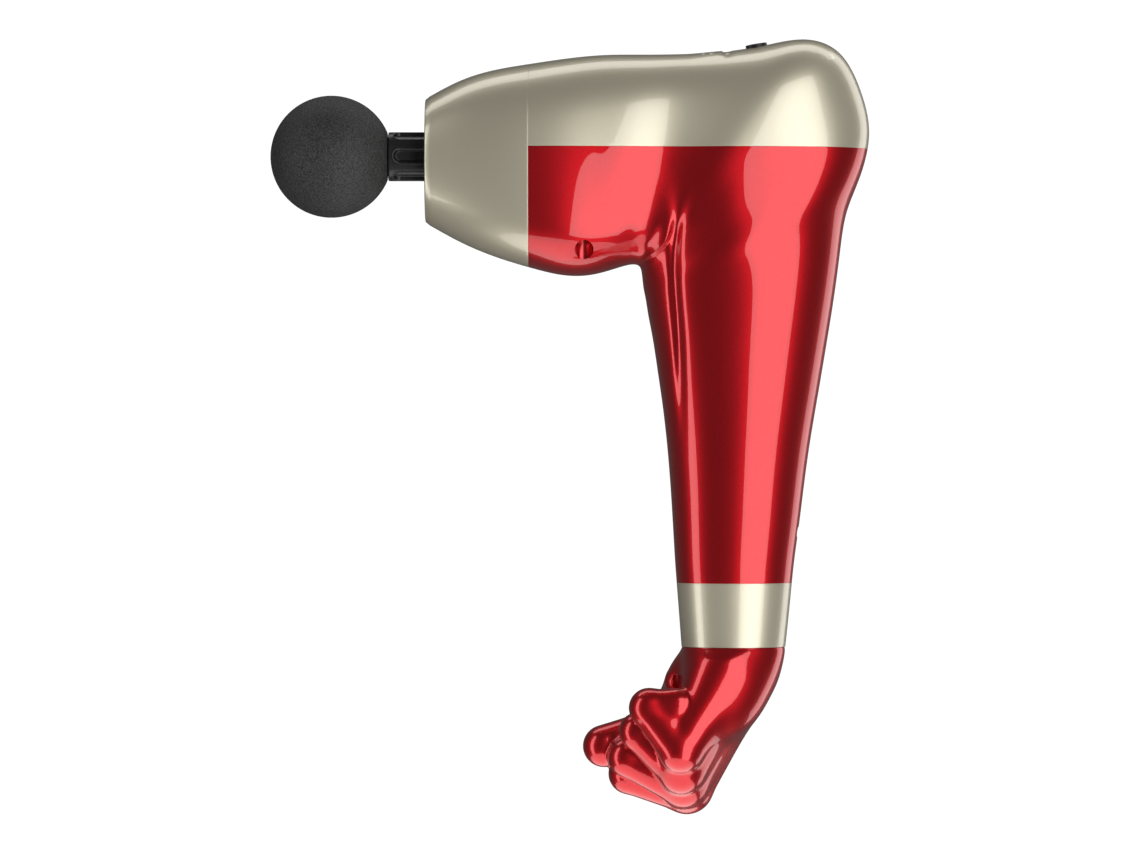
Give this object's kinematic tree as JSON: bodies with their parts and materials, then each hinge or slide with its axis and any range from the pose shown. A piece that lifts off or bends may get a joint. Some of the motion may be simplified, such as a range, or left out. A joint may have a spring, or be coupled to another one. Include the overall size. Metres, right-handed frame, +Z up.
{
  "type": "massage gun",
  "caption": "Cordless percussion massage gun with a casing shaped like a bent arm and a closed fist, and a round foam head.",
  "frame": {"origin": "centre of the bounding box", "axes": "+Z up, +X from the massage head towards the elbow, +Y to the gun's right side"},
  "size_m": [0.2394, 0.0678, 0.3102],
  "materials": {
    "red_lacquer": "candy red metallic lacquer under a clear gloss coat",
    "champagne_lacquer": "champagne gold metallic lacquer, gloss",
    "black_plastic": "satin black moulded plastic",
    "foam": "dense charcoal foam with a fine grain",
    "rubber": "matt black rubber",
    "steel": "turned or rolled steel",
    "cast_aluminium": "die-cast, satin",
    "bronze": "sintered bronze",
    "copper": "enamelled copper wire",
    "cell_can": null,
    "grey_plastic": "moulded grey plastic",
    "circuit_board": "green solder mask",
    "lamp_window": "clear, slightly milky",
    "red_wire": "silicone insulation",
    "black_wire": "silicone insulation"
  },
  "bodies": {
    "housing": {"left_body_shell": "red_lacquer", "right_body_shell": "red_lacquer", "body_screw": "steel", "top_cover": "champagne_lacquer", "nose_cap": "champagne_lacquer", "nose_seal": "rubber", "wrist_band": "champagne_lacquer", "left_hand_shell": "red_lacquer", "right_hand_shell": "red_lacquer", "hand_screw": "steel", "light_guide": "lamp_window", "drive_frame": "cast_aluminium", "guide_sleeve": "bronze", "isolator_left_front": "rubber", "isolator_right_front": "rubber", "isolator_left_rear": "rubber", "isolator_right_rear": "rubber", "motor_base": "cast_aluminium", "motor_windings": "copper", "upper_bearing": "steel", "lower_bearing": "steel", "motor_screw_1": "steel", "motor_screw_2": "steel", "motor_screw_3": "steel", "battery_cell_1": "cell_can", "battery_cell_2": "cell_can", "battery_cell_3": "cell_can", "battery_cell_4": "cell_can", "upper_cell_holder": "grey_plastic", "lower_cell_holder": "grey_plastic", "nickel_strip_top_left": "steel", "nickel_strip_top_right": "steel", "nickel_strip_bottom": "steel", "control_board": "circuit_board", "board_screw_1": "steel", "board_screw_2": "steel", "tact_switch": "black_plastic", "battery_board": "circuit_board", "charger_board": "circuit_board", "charging_socket": "steel", "battery_lead_red": "red_wire", "battery_lead_black": "black_wire", "motor_lead_a": "black_wire", "motor_lead_b": "black_wire", "motor_lead_c": "black_wire"},
    "crank": {"rotor_can": "steel", "motor_shaft": "steel", "crank_disc": "steel", "crank_pin": "steel"},
    "roller": {"crank_roller": "bronze"},
    "plunger": {"plunger_rod": "steel", "plunger_socket": "black_plastic"},
    "massage_head": {"massage_ball": "foam"},
    "button": {"power_button": "black_plastic"}
  },
  "joints": [
    {"name": "crank_turn", "type": "hinge", "parent": "housing", "child": "crank", "pos_m": [0.0703, 0, 0.10819], "axis": [0, 0, 1], "range_deg": [-90, 90]},
    {"name": "roller_turn", "type": "hinge", "parent": "crank", "child": "roller", "pos_m": [0.0703, 0.005, 0.10819], "axis": [0, 0, 1], "continuous": true},
    {"name": "head_stroke", "type": "slide", "parent": "housing", "child": "plunger", "axis": [-1, 0, 0], "range_m": [-0.005, 0.005]},
    {"name": "massage_head_pull_off", "type": "slide", "parent": "plunger", "child": "massage_head", "axis": [-1, 0, 0], "range_m": [0, 0.03]},
    {"name": "power_button_press", "type": "slide", "parent": "housing", "child": "button", "axis": [0.1662, 0, -0.9861], "range_m": [0, 0.0005], "stiffness_N_per_m": 4000}
  ],
  "couplings": [
    {"joint": "crank_turn", "follows": "head_stroke", "rad_per_m": 314.1}
  ]
}
